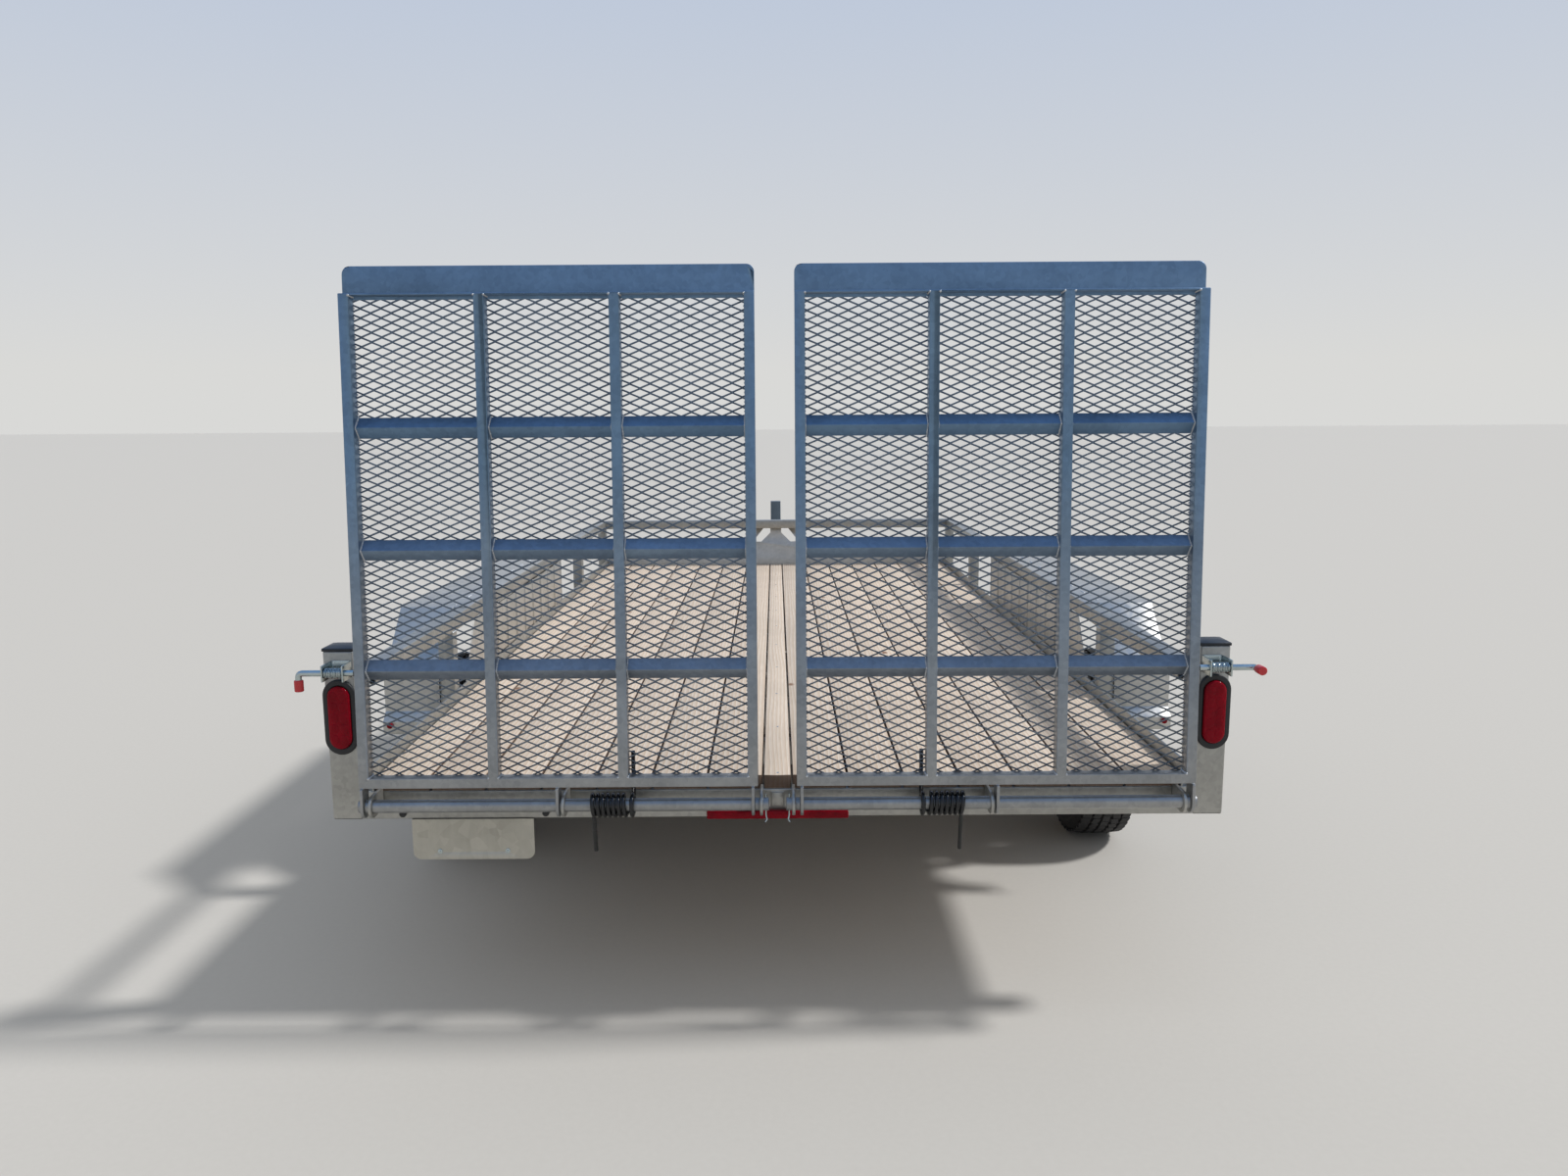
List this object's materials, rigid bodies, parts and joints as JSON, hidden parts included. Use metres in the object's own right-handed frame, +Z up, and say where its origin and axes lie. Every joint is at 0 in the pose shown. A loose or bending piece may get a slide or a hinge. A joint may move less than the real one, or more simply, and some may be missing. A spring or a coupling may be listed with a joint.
{
  "type": "utility trailer",
  "caption": "Open flat-deck road trailer on tandem axles with railed sides, mesh ramp gates at the rear, an A-frame tongue with ball coupler and a tongue jack.",
  "frame": {"origin": "on the ground, in the middle of the trailer's overall length and width", "axes": "+Y forward to the coupler, +X to the trailer's right side, +Z up"},
  "size_m": [2.582, 5.6844, 1.9355],
  "materials": {
    "softwood": "new sawn softwood, matt",
    "galvanised_steel": "hot-dip galvanised, satin with a faint spangle",
    "galvanised_sheet": "galvanised sheet, satin",
    "galvanised_mesh": "hot-dip galvanised expanded metal",
    "zinc_sheet": "plain bright sheet",
    "zinc_plate": "bright zinc plate with a bluish tint",
    "black_plastic": "moulded, fine grain",
    "black_rubber": "moulded rubber",
    "red_lens": "clear red lens, glossy",
    "amber_lens": "clear amber lens, glossy",
    "spring_black": "black coated spring wire",
    "red_vinyl": "dipped red vinyl",
    "black_enamel": "black enamel, semi-gloss",
    "silver_enamel": "silver enamel, semi-gloss",
    "cast_hub": "cast, machined at the cap",
    "tyre_rubber": "moulded tyre rubber",
    "jack_enamel": "dark grey enamel"
  },
  "bodies": {
    "chassis": {"deck_planks": "softwood", "deck_edge_angles": "galvanised_steel", "main_beams": "galvanised_steel", "cross_members": "galvanised_steel", "rear_crossmember": "galvanised_steel", "front_crossmember": "galvanised_steel", "rear_posts": "galvanised_steel", "post_caps": "black_plastic", "side_rails": "galvanised_steel", "front_rail": "galvanised_steel", "rail_posts": "galvanised_steel", "front_panel": "galvanised_steel", "fenders": "galvanised_sheet", "wheel_walls": "galvanised_sheet", "tail_lamp_grommets": "black_rubber", "tail_lamp_lenses": "red_lens", "rear_markers": "red_lens", "front_markers": "amber_lens", "rear_light_bar": "red_lens", "plate_bracket": "zinc_sheet", "rubber_plugs": "black_rubber", "hinge_ears": "galvanised_steel", "lift_springs": "spring_black", "gate_latches": "zinc_plate", "latch_grips": "red_vinyl", "axles": "black_enamel", "leaf_springs": "black_enamel", "spring_hangers": "galvanised_steel", "equalisers": "black_enamel", "tongue_tubes": "galvanised_steel", "coupler": "zinc_plate", "coupler_latch": "zinc_plate", "jack_tube": "jack_enamel", "jack_crank": "zinc_plate"},
    "gate_right": {"gate_frame_right": "galvanised_steel", "gate_mesh_right": "galvanised_mesh", "gate_spring_arm_right": "spring_black"},
    "gate_left": {"gate_frame_left": "galvanised_steel", "gate_mesh_left": "galvanised_mesh", "gate_spring_arm_left": "spring_black"},
    "jack_leg": {"jack_leg": "zinc_plate"},
    "wheel_rear_right": {"tyre_rear_right": "tyre_rubber", "rim_rear_right": "silver_enamel", "hub_rear_right": "cast_hub"},
    "wheel_rear_left": {"tyre_rear_left": "tyre_rubber", "rim_rear_left": "silver_enamel", "hub_rear_left": "cast_hub"},
    "wheel_front_right": {"tyre_front_right": "tyre_rubber", "rim_front_right": "silver_enamel", "hub_front_right": "cast_hub"},
    "wheel_front_left": {"tyre_front_left": "tyre_rubber", "rim_front_left": "silver_enamel", "hub_front_left": "cast_hub"}
  },
  "joints": [
    {"name": "gate_right_hinge", "type": "hinge", "parent": "chassis", "child": "gate_right", "pos_m": [0.555, -2.81087, 0.586], "axis": [1, 0, 0], "range_deg": [0, 116], "stiffness_Nm_per_rad": 60},
    {"name": "gate_left_hinge", "type": "hinge", "parent": "chassis", "child": "gate_left", "pos_m": [-0.555, -2.81087, 0.586], "axis": [1, 0, 0], "range_deg": [0, 116], "stiffness_Nm_per_rad": 60},
    {"name": "wheel_rear_right_spin", "type": "hinge", "parent": "chassis", "child": "wheel_rear_right", "pos_m": [1.177, -1.42586, 0.345], "axis": [-1, 0, 0], "continuous": true},
    {"name": "wheel_rear_left_spin", "type": "hinge", "parent": "chassis", "child": "wheel_rear_left", "pos_m": [-1.177, -1.42586, 0.345], "axis": [-1, 0, 0], "continuous": true},
    {"name": "wheel_front_right_spin", "type": "hinge", "parent": "chassis", "child": "wheel_front_right", "pos_m": [1.177, -0.56186, 0.345], "axis": [-1, 0, 0], "continuous": true},
    {"name": "wheel_front_left_spin", "type": "hinge", "parent": "chassis", "child": "wheel_front_left", "pos_m": [-1.177, -0.56186, 0.345], "axis": [-1, 0, 0], "continuous": true},
    {"name": "jack_slide", "type": "slide", "parent": "chassis", "child": "jack_leg", "axis": [0, 0, 1], "range_m": [0, 0.31]}
  ]
}
